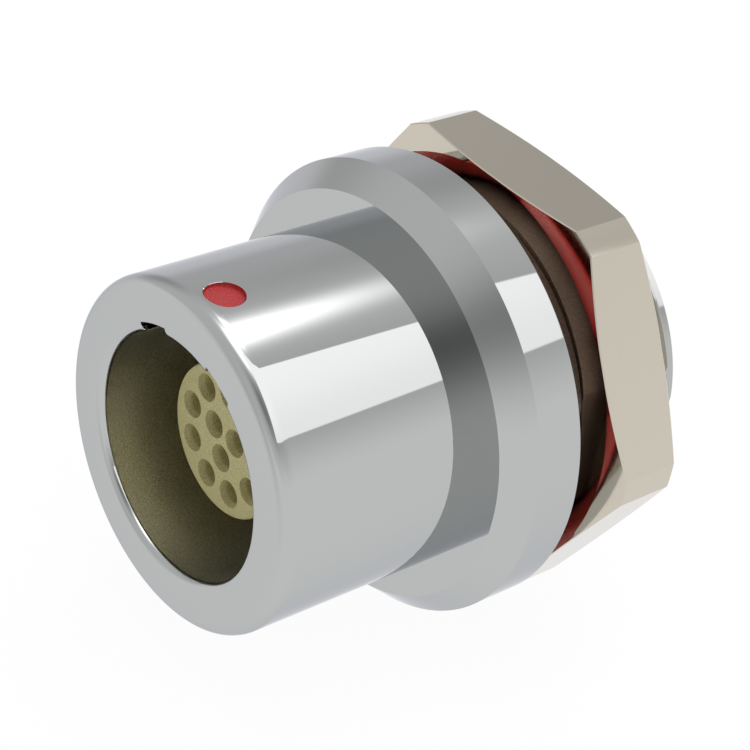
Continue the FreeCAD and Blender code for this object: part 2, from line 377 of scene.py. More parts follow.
def keyed(radius, y, keys):
    """The circle, with notches given as (degrees from the top, width, root radius)."""
    points = []
    between = 24
    last = COLUMNS - NOTCH_POINTS * len(keys) - between * (len(keys) - 1)
    for index, (degrees, width, root) in enumerate(keys):
        centre = math.radians(degrees)
        half = width / 2
        depth = max(root - radius, 0.0)
        edge = min(KEYWAY_EDGE, depth / 2)
        section = []
        for share in (0.0, 0.33, 0.67, 1.0):
            swing = share * math.pi / 2
            u = half + edge - edge * math.sin(swing)
            lift = edge * (1 - math.cos(swing))
            section.append((u, math.sqrt(radius * radius - u * u) + lift))
        deep = max(root, radius)
        for u in (half, half * 0.66, half * 0.33):
            section.append((u, math.sqrt(deep * deep - u * u)))
        notch = [(-u, v) for u, v in section] + [(0.0, deep)] + section[::-1]
        for u, v in notch:
            points.append((u * math.cos(centre) + v * math.sin(centre), y,
                           v * math.cos(centre) - u * math.sin(centre)))
        following = math.radians(keys[(index + 1) % len(keys)][0])
        if index == len(keys) - 1:
            following += math.tau
        reach = math.asin((half + edge) / radius)
        span = following - centre - 2 * reach
        steps = last if index == len(keys) - 1 else between
        for k in range(1, steps):
            points.append(at(radius, y, centre + reach + span * k / steps))
    return points


print("points in a keyed ring:", len(keyed(BORE_RADIUS, 0, KEYWAYS)))

# %% [markdown]
# ## The thread
# The rear thread is M20 x 1. One pitch is drawn with seven stations: the crest's two edges and
# five round the root, with 60 degrees between the flanks. The rows climb one pitch in each turn,
# so the last column joins the first one pitch further on. Each thread has a shape function that
# gives the radius from the depth, and makes the run-out at one end and the chamfer at the other.

# %% Thread rows
PITCH = 1.0
THREAD_ROOT = 9.38
THREAD_DEPTH = 0.62
THREAD_ROWS = [(0.0, 0.0), (0.125, 0.0), (0.46, 0.57), (0.5, 0.605), (0.5625, THREAD_DEPTH),
               (0.625, 0.605), (0.665, 0.57)]


def threaded(skin, start_y, end_y, turns, shape):
    """Adds a helical band. shape(depth, angle, y) gives each point."""
    per_turn = len(THREAD_ROWS)
    count = len(turns)
    rows = (math.ceil((end_y - start_y) / PITCH) + 4) * per_turn
    grid = []
    for column in range(count):
        angle = turns[column]
        line = []
        for row in range(rows):
            phase, depth = THREAD_ROWS[row % per_turn]
            climbed = PITCH * (row // per_turn + phase + angle / math.tau)
            y = math.floor(start_y) - 2 * PITCH + climbed
            line.append(shape(depth, angle, min(max(y, start_y), end_y)))
        grid.append(skin.ring(line))
    for column in range(count):
        climb = per_turn if column == count - 1 else 0
        here, there = grid[column], grid[(column + 1) % count]
        for row in range(rows - 1 - climb):
            skin.faces.append((here[row], here[row + 1], there[row + climb + 1], there[row + climb]))


print("thread stations in a pitch:", len(THREAD_ROWS))


# %% [markdown]
# ## The shell's neck
# The neck is flattened on two sides, so that the connector can't turn in its panel. The flats cut
# the thread's crests too, so every point of neck and thread is held between two planes. Four of
# the even columns move to the flats' edges, which keeps those edges straight.

# %% Neck and thread
def neck_turns():
    """Even columns, with four moved to the edges of the two flats."""
    turns = even_turns(COLUMNS)
    step = math.tau / COLUMNS
    edge = math.asin(NECK_FLAT / NECK_RADIUS)
    for exact in (edge, math.pi - edge, math.pi + edge, math.tau - edge):
        turns[round(exact / step)] = exact
    return turns


TURNS = neck_turns()


def flattened(x, y, z):
    return (max(-NECK_FLAT, min(NECK_FLAT, x)), y, z)


def external_thread(depth, angle, y):
    runout = min(1.0, max(0.0, (y - THREAD_START_Y) / THREAD_RUNOUT))
    radius = min(NECK_RADIUS - depth * runout, THREAD_ROOT + SHELL_REAR_Y - y)
    return flattened(*at(radius, y, angle))


print("flats at", NECK_FLAT, "mm from the axis")

# %% [markdown]
# ## The dot's hole
# The dot's recess is drilled from above. A rectangle of the barrel's grid is left open, and rings
# that lie on the cylinder lead from it to a true circle, so the chrome round it stays smooth.

# %% Drill for the dot
DOT_Y = MOUTH_Y + 2.03
DOT_RADIUS = 1.075
DOT_FLOOR = 9.05
DOT_EDGE = 0.02
DOT_COLLAR = 0.05
PATCH_COLUMNS = 6
PATCH_ROWS = 12
PATCH_START_Y = MOUTH_Y + BARREL_ROUNDING
PATCH_END_Y = DOT_Y + (DOT_Y - PATCH_START_Y)


def on_barrel(x, y, sink=0.0):
    return (x, y, math.sqrt(BARREL_RADIUS ** 2 - x * x) - sink)


def dot_patch(skin, border):
    """Rings from the open rectangle in the barrel's grid to the dot's round hole and its floor."""
    def spoke(index, radius):
        x, y, z = skin.points[index]
        reach = math.hypot(x, y - DOT_Y)
        return x * radius / reach, DOT_Y + (y - DOT_Y) * radius / reach

    inner = border
    for share in (0.35, 0.7):
        points = []
        for i in border:
            x, y, z = skin.points[i]
            u, v = spoke(i, DOT_RADIUS + DOT_COLLAR)
            points.append(on_barrel(x + (u - x) * share, y + (v - y) * share))
        outer, inner = inner, skin.ring(points)
        skin.bridge(outer, inner)
    for radius, sink in ((DOT_RADIUS + DOT_EDGE, 0.0), (DOT_RADIUS, DOT_EDGE)):
        outer, inner = inner, skin.ring([on_barrel(*spoke(i, radius), sink) for i in border])
        skin.bridge(outer, inner)
    outer, inner = inner, skin.ring([(*spoke(i, DOT_RADIUS), DOT_FLOOR) for i in border])
    skin.bridge(outer, inner)
    skin.faces.append(tuple(inner))


print("grid left open for the dot:", 2 * PATCH_COLUMNS, "by", PATCH_ROWS, "quads")

# %% [markdown]
# ## The shell
# One piece of brass from the mating face to the solder side. The skin starts at the mating face
# and goes back over the barrel, the flange, the seal's recess and the neck, then forward again
# through the bore, the latch groove and the rounded lip. The neck and the thread end on the same
# circle, where their points are welded.

# %% Build the shell
def skin_barrel(skin):
    """Returns the mating face's outer ring and the barrel's last ring."""
    edge = rounded([(BORE_RADIUS + MOUTH_ROUNDING, MOUTH_Y, 0), (BARREL_RADIUS, MOUTH_Y, BARREL_ROUNDING),
                    (BARREL_RADIUS, 0, 0)], steps=8)[1:-1]
    face_outer, last = skin.bridge_all([circle(r, y, TURNS) for r, y in edge])
    rows = [last]
    for row in range(1, PATCH_ROWS + 1):
        y = PATCH_START_Y + (PATCH_END_Y - PATCH_START_Y) * row / PATCH_ROWS
        rows.append(skin.ring(circle(BARREL_RADIUS, y, TURNS)))
    across = [i % COLUMNS for i in range(-PATCH_COLUMNS, PATCH_COLUMNS + 1)]
    for first, second in zip(rows, rows[1:]):
        skin.bridge(first, second, skip=across[:-1])
    border = [rows[0][i] for i in across]
    border += [rows[k][across[-1]] for k in range(1, PATCH_ROWS)]
    border += [rows[-1][i] for i in reversed(across)]
    border += [rows[k][across[0]] for k in range(PATCH_ROWS - 1, 0, -1)]
    dot_patch(skin, border)
    return face_outer, rows[-1]


def skin_flange_and_neck(skin, barrel_end):
    """Returns the outer ring of the rear face."""
    outside = rounded([
        (BARREL_RADIUS, PATCH_END_Y, 0), (BARREL_RADIUS, FLANGE_FRONT_Y, 0),
        (FLANGE_FACE_RADIUS, FLANGE_FRONT_Y, 0), (FLANGE_RADIUS, BEVEL_REAR_Y, 0),
        (FLANGE_RADIUS, 0, 0.1), (RECESS_RADIUS, 0, 0.04), (RECESS_RADIUS, RECESS_FLOOR_Y, 0),
        (NECK_RADIUS, RECESS_FLOOR_Y, 0), (NECK_RADIUS, 0, 0)])
    first, recess_end = skin.bridge_all([circle(r, y, TURNS) for r, y in outside])
    skin.bridge(barrel_end, first)
    neck = [[flattened(*p) for p in circle(NECK_RADIUS, y, TURNS)] for y in (0, THREAD_START_Y)]
    skin.bridge(recess_end, skin.bridge_all(neck)[0])
    threaded(skin, THREAD_START_Y, SHELL_REAR_Y, TURNS, external_thread)
    return skin.ring([external_thread(THREAD_DEPTH, a, SHELL_REAR_Y) for a in TURNS])


def skin_bore(skin, rear_outer, face_outer):
    """Leads from the rear face's outer ring through the bore to the mating face's."""
    rear = [(REAR_BORE_RADIUS + REAR_CHAMFER, SHELL_REAR_Y),
            (REAR_BORE_RADIUS, SHELL_REAR_Y - REAR_CHAMFER), (REAR_BORE_RADIUS, SHOULDER_Y)]
    first, shoulder = skin.bridge_all([keyed(r, y, INSERT_SLOT) for r, y in rear])
    skin.stitch(rear_outer, first)
    groove = [(BORE_RADIUS, SHOULDER_Y), (BORE_RADIUS, GROOVE_REAR_Y + GROOVE_RAMP),
              (GROOVE_RADIUS, GROOVE_REAR_Y), (GROOVE_RADIUS, GROOVE_FRONT_Y)]
    first, groove_end = skin.bridge_all([circle(r, y, TURNS) for r, y in groove])
    skin.stitch(shoulder, first)
    front = [(BORE_RADIUS, GROOVE_FRONT_Y)]
    for k in range(9):
        swing = math.pi / 2 * k / 8
        front.append((BORE_RADIUS + MOUTH_ROUNDING * (1 - math.cos(swing)),
                      MOUTH_Y + MOUTH_ROUNDING * (1 - math.sin(swing))))
    first, lip_end = skin.bridge_all([keyed(r, y, KEYWAYS) for r, y in front])
    skin.stitch(groove_end, first)
    skin.stitch(lip_end, face_outer)


def build_shell():
    skin = Skin()
    face_outer, barrel_end = skin_barrel(skin)
    rear_outer = skin_flange_and_neck(skin, barrel_end)
    skin_bore(skin, rear_outer, face_outer)
    return to_object("chromed_shell", skin, polished_chrome)


shell = build_shell()

# %% [markdown]
# ## The shell's four finishes
# The platings meet at edges, so whole faces change material. Two of them carry painted light in
# their colour: painted shade behind the flange and a painted reflection in the bore. A face belongs
# to a zone by its middle's distance from the axis and its place along it. A radius between the
# bores and the neck tells the inside from the outside.

# %% Finish the shell
INSIDE_RADIUS = 8.3
FULL_THREAD_Y = THREAD_START_Y + 1


def in_bore(radius, y):
    in_keyway = radius > BORE_RADIUS + 0.05 and y < GROOVE_FRONT_Y
    return radius < INSIDE_RADIUS and y > MOUTH_Y + MOUTH_ROUNDING and not in_keyway


def behind_flange(radius, y):
    """True in the seal's recess and on the neck as far as the first full turn of the thread."""
    return INSIDE_RADIUS < radius < RECESS_RADIUS + 0.1 and RECESS_FLOOR_Y - 0.05 < y < FULL_THREAD_Y


def on_thread(radius, y):
    return radius > INSIDE_RADIUS and y > FULL_THREAD_Y


def refinish(thing, material, belongs):
    """Gives another material to the faces whose middle passes the test."""
    thing.data.materials.append(material)
    changed = 0
    for face in thing.data.polygons:
        middle = face.center / MM
        if belongs(math.hypot(middle.x, middle.z), middle.y):
            face.material_index = len(thing.data.materials) - 1
            changed += 1
    print(thing.name, "faces with", material.name, changed)


# The bore gets the nickel whose olive tint is a painted reflection of the insert.
refinish(shell, bore_nickel_with_painted_olive, in_bore)
# The recess and the neck get the nickel whose darker, browner colour is painted gap shade.
refinish(shell, nickel_with_painted_gap_shade, behind_flange)
refinish(shell, cut_chrome, on_thread)
shade(shell)
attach(shell, "receptacle")
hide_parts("shell")

# %% [markdown]
# ## Nickel plate and the hexagon nut
# The nut is turned and milled from brass bar and nickel plated without polishing. Nickel is warmer
# than chrome, and this plate blurs what it mirrors a little. Its tool marks, too fine to show, are
# drawn 0.1 mm wide and only vary the roughness. The bearing faces are turned to a circle that just
# touches the flats, so each flat ends in a shallow bow, and the six corners are turned off. The
# thread inside matches the neck's turn for turn, with a running clearance, and starts behind a
# short counterbore, so that the nut can come up over the thread's run-out.

# %% Build the nut
nickel_plate = turned_metal("satin nickel plate", "#CAC3B5", "#F9F9FC", 0.07, 0.1, 0.1, 4.0)

NUT_APOTHEM = 12.0
NUT_CORNER = 13.43
NUT_BEVEL = 0.42
NUT_RIM = 0.05
NUT_CREST = 9.46
NUT_CLEARANCE = 0.05
COUNTERBORE = 10.12
COUNTERBORE_DEPTH = 0.5
SIXTH = math.tau / 6
FLAT_COLUMNS = 24
CORNER_COLUMNS = 5


def nut_turns():
    """Columns for six flats and the six turned corners between them."""
    edge = math.acos(NUT_APOTHEM / NUT_CORNER)
    turns = []
    for side in range(6):
        middle = side * SIXTH
        turns += [middle + edge * (2 * k / FLAT_COLUMNS - 1) for k in range(FLAT_COLUMNS)]
        turns += [middle + edge + (SIXTH - 2 * edge) * k / CORNER_COLUMNS for k in range(CORNER_COLUMNS)]
    return turns


def nut_reach(angle):
    """The nut's outer radius at an angle."""
    off = (angle + SIXTH / 2) % SIXTH - SIXTH / 2
    return min(NUT_APOTHEM / math.cos(off), NUT_CORNER)


def internal_thread(depth, angle, y):
    radius = max(NUT_CREST, NECK_RADIUS + NUT_CLEARANCE - depth)
    inwards = min(y - NUT_FRONT_Y, NUT_REAR_Y - y)
    radius = max(radius, COUNTERBORE - max(0.0, inwards - COUNTERBORE_DEPTH))
    return at(radius, y, angle)


def build_nut():
    skin = Skin()
    slope = NUT_BEVEL / (NUT_CORNER - NUT_APOTHEM)
    rings = []
    for inset, drop in ((None, 0.0), (NUT_RIM, 0.0), (0.0, NUT_RIM)):
        points = []
        for a in nut_turns():
            reach = NUT_APOTHEM - NUT_RIM if inset is None else nut_reach(a) - inset
            y = NUT_FRONT_Y + max(0.0, reach - NUT_APOTHEM) * slope + drop
            points.append(at(reach, y, a))
        rings.append(points)
    middle = NUT_FRONT_Y + NUT_REAR_Y
    rings += [[(x, middle - y, z) for x, y, z in ring] for ring in reversed(rings)]
    front, rear = skin.bridge_all(rings)
    threaded(skin, NUT_FRONT_Y, NUT_REAR_Y, even_turns(COLUMNS), internal_thread)
    for ring, y in ((front, NUT_FRONT_Y), (rear, NUT_REAR_Y)):
        skin.stitch(skin.ring(circle(COUNTERBORE, y, even_turns(COLUMNS))), ring)
    return to_object("nickel_nut", skin, nickel_plate)


nut = shade(build_nut(), 12)
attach(nut, "nut")
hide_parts("hex_nut")

# %% [markdown]
# ## The flange seal
# An O-ring of red silicone sits in the recess behind the flange. Moulded silicone is smooth, with a
# soft, broad highlight, and a powdery bloom varies its red in patches about 0.5 mm wide. The ring
# is a circle turned about the axis.

# %% Build the seal
def soft_plastic(name, base, deep, rough, grain_mm, grain_height_mm, spread=0.5):
    """A moulded surface: two close colours in fine grain, and the same grain as a shallow bump."""
    material, tree = new_material(name)
    place = add(tree, "ShaderNodeTexCoord").outputs["Object"]
    grain = noise(tree, place, grain_mm, 3.0, Roughness=0.6)
    shader = add(tree, "ShaderNodeBsdfPrincipled", {"Roughness": rough})
    add_grain(tree, shader, grain, spread, deep, base, grain_height_mm, 0.5)
    close_material(tree, shader)
    return material


red_silicone = soft_plastic("moulded red silicone", "#A51F1B", "#8E1815", 0.38, 0.5, 0.004)
SEAL_SECTION = 0.95
SEAL_RADIUS = 11.05
SEAL_Y = -0.12
SEAL_STEPS = 32
seal = turned("red_flange_seal", [
    (SEAL_RADIUS + SEAL_SECTION * math.cos(a), SEAL_Y + SEAL_SECTION * math.sin(a), 0)
    for a in even_turns(SEAL_STEPS)], red_silicone)
shade(seal, 60)
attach(seal, "receptacle")
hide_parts("flange_seal")

# %% [markdown]
# ## The red dot
# The dot shows which way up the plug goes. It is a drop of enamel baked in a drilled recess. It
# has drawn down while it dried, so it lies below the barrel's surface and still coats the wall. Its
# pigment grain, too fine to show, is drawn 0.1 mm wide.

# %% Build the dot
red_enamel = soft_plastic("red baked enamel", "#B12022", "#8C181A", 0.5, 0.1, 0.006, spread=0.35)
ENAMEL_LEVEL = 9.32
ENAMEL_GAP = 0.025
ENAMEL_STEPS = [(0.3, 0.0), (0.6, 0.0), (0.85, 0.0), (0.93, 0.02), (0.96, 0.07), (0.98, 0.3),
                (0.99, 0.7), (0.995, 1.0)]


def build_dot():
    """Rings at a share of the radius that climb by a share of the way up the wall, then the floor."""
    skin = Skin()
    rings = []
    for share, climb in ENAMEL_STEPS + [(ENAMEL_STEPS[-1][0], None)]:
        points = []
        for a in even_turns(64):
            x, y = DOT_RADIUS * share * math.sin(a), DOT_Y + DOT_RADIUS * share * math.cos(a)
            z = DOT_FLOOR
            if climb is not None:
                z = ENAMEL_LEVEL + climb * (on_barrel(x, y, ENAMEL_GAP)[2] - ENAMEL_LEVEL)
            points.append((x, y, z))
        rings.append(points)
    skin.bridge_and_close(rings)
    return to_object("red_dot", skin, red_enamel)


dot = shade(build_dot(), 40)
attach(dot, "receptacle")
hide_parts("alignment_dot")

# %% [markdown]
# ## Places of the contacts
# Twelve contacts stand in two circles: nine outside, starting under the dot, and three inside.
# Geometry Nodes lay out the places once, and the same small tree serves the contacts, which are
# set on the places, and the insert, which is drilled at them.

# %% A node tree for the places
def group_tree(name, sockets):
    """A Geometry Nodes tree with named inputs, given as {name: socket kind}."""
    tree = bpy.data.node_groups.new(name, "GeometryNodeTree")
    for socket, kind in sockets.items():
        tree.interface.new_socket(socket, in_out="INPUT", socket_type=kind)
    tree.interface.new_socket("Geometry", in_out="OUTPUT", socket_type="NodeSocketGeometry")
    return tree, tree.nodes.new("NodeGroupInput").outputs, tree.nodes.new("NodeGroupOutput").inputs


def join(tree, *parts):
    joined = add(tree, "GeometryNodeJoinGeometry")
    for part in parts:
        tree.links.new(part, joined.inputs[0])
    return joined.outputs[0]


def turn_of_each(tree, count, first_turn):
    """The angle of each of count points, evenly spread over a turn."""
    index = add(tree, "GeometryNodeInputIndex").outputs[0]
    step = add(tree, "ShaderNodeMath", {0: math.tau, 1: count}, operation="DIVIDE").outputs[0]
    return add(tree, "ShaderNodeMath", {0: index, 1: step, 2: first_turn},
               operation="MULTIPLY_ADD").outputs[0]


def circle_of_places(tree, count, radius, first_turn):
    """Points on a circle about the Y axis, the first at first_turn from the top."""
    points = add(tree, "GeometryNodePoints", {"Count": count}).outputs[0]
    angle = turn_of_each(tree, count, first_turn)
    place = add(tree, "ShaderNodeCombineXYZ")
    for coordinate, ratio in (("X", "SINE"), ("Z", "COSINE")):
        share = add(tree, "ShaderNodeMath", {0: angle}, operation=ratio).outputs[0]
        length = add(tree, "ShaderNodeMath", {0: share, 1: radius}, operation="MULTIPLY").outputs[0]
        tree.links.new(length, place.inputs[coordinate])
    moved = add(tree, "GeometryNodeSetPosition", {"Geometry": points, "Position": place.outputs[0]})
    return moved.outputs[0]


PLACE_SOCKETS = {"Outer count": "NodeSocketInt", "Outer radius": "NodeSocketFloat",
                 "Inner count": "NodeSocketInt", "Inner radius": "NodeSocketFloat"}
PLACE_VALUES = {"Outer count": 9, "Outer radius": 2.93 * MM,
                "Inner count": 3, "Inner radius": 1.06 * MM}


def places_tree():
    tree, given, result = group_tree("contact places", PLACE_SOCKETS)
    outer = circle_of_places(tree, given["Outer count"], given["Outer radius"], 0.0)
    inner = circle_of_places(tree, given["Inner count"], given["Inner radius"], math.pi)
    tree.links.new(join(tree, outer, inner), result["Geometry"])
    return tree


contact_places = places_tree()
print("nodes that set out the places:", len(contact_places.nodes))

# %% [markdown]
# ## Using a tree
# A node tree works through a modifier on an object. Its result is kept as a plain mesh and the
# modifier is removed, because the export wants real meshes. The export drops instances too, so
# every tree ends by making them real.

# %% Start, end and run a tree
def places_node(tree, given):
    node = add(tree, "GeometryNodeGroup", node_tree=contact_places)
    for name in PLACE_SOCKETS:
        tree.links.new(given[name], node.inputs[name])
    return node.outputs[0]


def copies(tree, points, thing, **more):
    """A copy of an object at each point."""
    shape = add(tree, "GeometryNodeObjectInfo", {"Object": thing}).outputs["Geometry"]
    return add(tree, "GeometryNodeInstanceOnPoints",
               {"Points": points, "Instance": shape, **more}).outputs[0]


def end_tree(tree, geometry, given, result):
    """Ends a tree in real geometry with its material."""
    real = add(tree, "GeometryNodeRealizeInstances", {"Geometry": geometry}).outputs[0]
    painted = add(tree, "GeometryNodeSetMaterial", {"Geometry": real, "Material": given["Material"]})
    tree.links.new(painted.outputs[0], result["Geometry"])
    return tree


def settle(thing, modifier):
    """Evaluates the object once, keeps the result as a plain mesh and removes the modifier."""
    bpy.context.view_layer.update()
    ready = thing.evaluated_get(bpy.context.evaluated_depsgraph_get())
    mesh = bpy.data.meshes.new_from_object(ready)
    thing.modifiers.remove(modifier)
    thing.data = mesh
    print(thing.name, "faces now:", len(mesh.polygons))
    return thing


def run_tree(thing, tree, values):
    """A node modifier's inputs are set by their identifiers, not by their names."""
    modifier = thing.modifiers.new("nodes", "NODES")
    modifier.node_group = tree
    for item in tree.interface.items_tree:
        if item.in_out == "INPUT" and item.name in values:
            modifier[item.identifier] = values[item.name]
    return settle(thing, modifier)


# %% [markdown]
# ## The insert
# The pale insert is machined from natural PEEK, a hard plastic with a dull, finely grained face. The
# real grain is too fine to show and is drawn 0.06 mm wide. Each hole has a flared lead-in that
# guides the pin, and a wider seat behind for the contact's collar. The drill is a turned piece of
# that shape, set at every place by the tree and taken away from the blank in one boolean.

# %% Build the insert
natural_peek = soft_plastic("machined natural PEEK", "#C9C291", "#8E8550", 0.62, 0.06, 0.015,
                            spread=0.4)
INSERT_FACE_Y, INSERT_REAR_Y = ends("insulator_front")
INSERT_RADIUS = 4.225
INSERT_EDGE = 0.12
COLLAR_RADIUS = 4.825
COLLAR_FRONT_Y = INSERT_REAR_Y - 2.5
COLLAR_REAR_Y = COLLAR_FRONT_Y + 1.0
HOLE_RADIUS = 0.65
FLARED_RADIUS = HOLE_RADIUS + 0.12
FLARE_DEPTH = 0.35
FLARE_ROUNDING = 0.5
SEAT_RADIUS = 0.8
SEAT_Y = INSERT_REAR_Y - 1.05
DRILL_TOP_Y = INSERT_FACE_Y - 0.4
DRILL_END_Y = INSERT_REAR_Y + 0.3


def drilled_tree():
    sockets = {"Geometry": "NodeSocketGeometry", "Drill": "NodeSocketObject",
               "Material": "NodeSocketMaterial"}
    tree, given, result = group_tree("drill at the places", sockets | PLACE_SOCKETS)
    drills = copies(tree, places_node(tree, given), given["Drill"])
    real = add(tree, "GeometryNodeRealizeInstances", {"Geometry": drills}).outputs[0]
    drilled = add(tree, "GeometryNodeMeshBoolean", {"Mesh 1": given["Geometry"], "Mesh 2": real},
                  operation="DIFFERENCE", solver="EXACT").outputs["Mesh"]
    return end_tree(tree, drilled, given, result)


drill = turned("drill", [
    (0, DRILL_TOP_Y, 0), (FLARED_RADIUS + 0.25, DRILL_TOP_Y, 0), (FLARED_RADIUS, INSERT_FACE_Y, 0),
    (HOLE_RADIUS, INSERT_FACE_Y + FLARE_DEPTH, FLARE_ROUNDING), (HOLE_RADIUS, SEAT_Y, 0),
    (SEAT_RADIUS, SEAT_Y, 0), (SEAT_RADIUS, DRILL_END_Y, 0), (0, DRILL_END_Y, 0)],
    columns=32, closed=False)
insert = turned("pale_insert", [
    (0, INSERT_FACE_Y, 0), (INSERT_RADIUS, INSERT_FACE_Y, INSERT_EDGE),
    (INSERT_RADIUS, COLLAR_FRONT_Y, 0), (COLLAR_RADIUS, COLLAR_FRONT_Y, 0),
    (COLLAR_RADIUS, COLLAR_REAR_Y, 0), (INSERT_RADIUS, COLLAR_REAR_Y, 0),
    (INSERT_RADIUS, INSERT_REAR_Y, 0), (0, INSERT_REAR_Y, 0)],
    columns=128, closed=False)
run_tree(insert, drilled_tree(), PLACE_VALUES | {"Drill": drill, "Material": natural_peek})
bpy.data.objects.remove(drill)
shade(insert, 30)
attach(insert, "receptacle")
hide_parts("insulator_front")

# %% [markdown]
# ## The contacts
# A female contact is a gold-plated brass tube, slit at the front so that it grips a pin, with a
# collar in the middle and a half-open cup behind, where the wire is soldered. One contact is
# turned and cut, then set at the twelve places. The cup's cut lies a little above the axis,
# because one that ran along the mesh's own edges would leave fine cracks. Contacts are plated in
# bulk, so the gold is satin, with soft hairlines drawn 0.05 mm wide.

# %% Build the contacts
gold_plate = turned_metal("gold plate", "#D8B365", "#FFF1D0", 0.16, 0.26, 0.05, 1.0)


def cut(thing, *boxes):
    """Takes boxes, given by two corners in millimetres, away from a mesh."""
    for (x0, y0, z0), (x1, y1, z1) in boxes:
        block = Skin()
        block.bridge_and_close([[(x0, y, z0), (x1, y, z0), (x1, y, z1), (x0, y, z1)] for y in (y0, y1)])
        cutter = to_object("cutter", block)
        boolean = thing.modifiers.new("cut", "BOOLEAN")
        boolean.object = cutter
        boolean.solver = "EXACT"
        settle(thing, boolean)
        bpy.data.objects.remove(cutter)


def set_out_tree():
    sockets = {"Contact": "NodeSocketObject", "Material": "NodeSocketMaterial"}
    tree, given, result = group_tree("set out the contacts", sockets | PLACE_SOCKETS)
    many = copies(tree, places_node(tree, given), given["Contact"])
    return end_tree(tree, many, given, result)


SOCKET_Y, CUP_Y = ends("contact_01")
SOCKET_BORE = 0.36
SOCKET_FLOOR_Y = SOCKET_Y + 5.5
TUBE_RADIUS = 0.6
STOP_RADIUS = 0.75
STOP_Y = INSERT_REAR_Y - 1.0
CUP_BORE = 0.425
CUP_FLOOR_Y = CUP_Y - 2.6
DRILL_POINT = 0.2
SLIT_HALF = 0.08
SLIT_LENGTH = 4.5
CUP_OPENING = 1.5
CUP_CUT_Z = 0.02
one_contact = turned("one_contact", [
    (0, SOCKET_FLOOR_Y + DRILL_POINT, 0), (SOCKET_BORE, SOCKET_FLOOR_Y, 0), (SOCKET_BORE, SOCKET_Y, 0.08),
    (TUBE_RADIUS, SOCKET_Y, 0.08), (TUBE_RADIUS, STOP_Y, 0), (STOP_RADIUS, STOP_Y, 0.05),
    (STOP_RADIUS, INSERT_REAR_Y, 0.05), (TUBE_RADIUS, INSERT_REAR_Y, 0), (TUBE_RADIUS, CUP_Y, 0.05),
    (CUP_BORE, CUP_Y, 0.05), (CUP_BORE, CUP_FLOOR_Y, 0), (0, CUP_FLOOR_Y - DRILL_POINT, 0)],
    columns=32, closed=False, steps=3)
cut(one_contact, ((-1, SOCKET_Y - 1, -SLIT_HALF), (1, SOCKET_Y + SLIT_LENGTH, SLIT_HALF)),
    ((-1, CUP_Y - CUP_OPENING, CUP_CUT_Z), (1, CUP_Y + 1, 1)))
holder = bpy.data.objects.new("gold_contacts", bpy.data.meshes.new("gold_contacts"))
bpy.context.scene.collection.objects.link(holder)
contacts = run_tree(holder, set_out_tree(),
                    PLACE_VALUES | {"Contact": one_contact, "Material": gold_plate})
bpy.data.objects.remove(one_contact)
shade(contacts, 30)
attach(contacts, "receptacle")
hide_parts(*["contact_%02d" % n for n in range(1, 13)])

# %% [markdown]
# ## The earthing crown
# Deep in the bore a ring of sprung fingers touches the plug's tube all round. The ring is turned,
# and one finger, bent inwards at its tip, is copied round the axis by nodes.

# %% Build the crown
sprung_nickel = turned_metal("nickel-plated spring bronze", "#C9C1B2", "#DAD6CE", 0.25, 0.35,
                             HAIRLINE, 2.0)
CROWN_FRONT_Y = ends("earthing_crown")[0]
CROWN_REAR_Y = -5.25
CROWN_OUTER = 7.7
CROWN_INNER = 6.3
FINGERS = 12
FINGER_TIP = 6.2
FINGER_ROOT = 6.55
FINGER_WALL = 0.25
FINGER_HALF_TURN = math.radians(12.8)


def crown_tree():
    sockets = {"Geometry": "NodeSocketGeometry", "Finger": "NodeSocketObject", "Count": "NodeSocketInt",
               "Material": "NodeSocketMaterial"}
    tree, given, result = group_tree("fingers round the crown", sockets)
    points = add(tree, "GeometryNodePoints", {"Count": given["Count"]}).outputs[0]
    turn = add(tree, "ShaderNodeCombineXYZ", {"Y": turn_of_each(tree, given["Count"], 0.0)}).outputs[0]
    fingers = copies(tree, points, given["Finger"], Rotation=turn)
    return end_tree(tree, join(tree, fingers, given["Geometry"]), given, result)


def build_finger():
    skin = Skin()
    rings = []
    root_y = SHOULDER_Y + 0.1
    turns = [FINGER_HALF_TURN * (2 * i / 8 - 1) for i in range(9)]
    for k in range(7):
        share = k / 6
        y = CROWN_FRONT_Y + (root_y - CROWN_FRONT_Y) * share
        radius = FINGER_TIP + (FINGER_ROOT - FINGER_TIP) * math.sin(share * math.pi / 2)
        rings.append(circle(radius, y, turns) + circle(radius - FINGER_WALL, y, turns[::-1]))
    skin.bridge_and_close(rings)
    return to_object("finger", skin)


finger = build_finger()
crown = turned("earthing_crown_fingers", [(CROWN_OUTER, SHOULDER_Y, 0), (CROWN_OUTER, CROWN_REAR_Y, 0),
                                          (CROWN_INNER, CROWN_REAR_Y, 0.05),
                                          (CROWN_INNER, SHOULDER_Y, 0.05)], columns=128)
run_tree(crown, crown_tree(), {"Finger": finger, "Count": FINGERS, "Material": sprung_nickel})
bpy.data.objects.remove(finger)
shade(crown, 30)
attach(crown, "receptacle")
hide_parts("earthing_crown")

# %% [markdown]
# ## The cast resin
# The solder side is sealed with black epoxy. It was poured and has set with a smooth, glossy, level
# face that climbs a little at the shell's wall. Two blacks in soft patches 1.2 mm wide keep it from
# looking flat.

# %% Build the resin
cast_epoxy = soft_plastic("black cast epoxy", "#141415", "#0F0F10", 0.2, 1.2, 0.01)
RESIN_FRONT_Y = 3.75
RESIN_RIM_Y = ends("sealing_compound")[1]
RESIN_LEVEL_Y = RESIN_RIM_Y - 0.12
RESIN_RADIUS = 7.7
resin = turned("black_resin", [
    (0, RESIN_FRONT_Y, 0), (RESIN_RADIUS, RESIN_FRONT_Y, 0), (RESIN_RADIUS, RESIN_RIM_Y, 0),
    (RESIN_RADIUS - 0.15, RESIN_RIM_Y - 0.03, 0.2), (RESIN_RADIUS - 0.7, RESIN_LEVEL_Y, 0.6),
    (0, RESIN_LEVEL_Y, 0)], cast_epoxy, columns=160, closed=False, steps=4)
shade(resin, 40)
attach(resin, "receptacle")
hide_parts("sealing_compound")

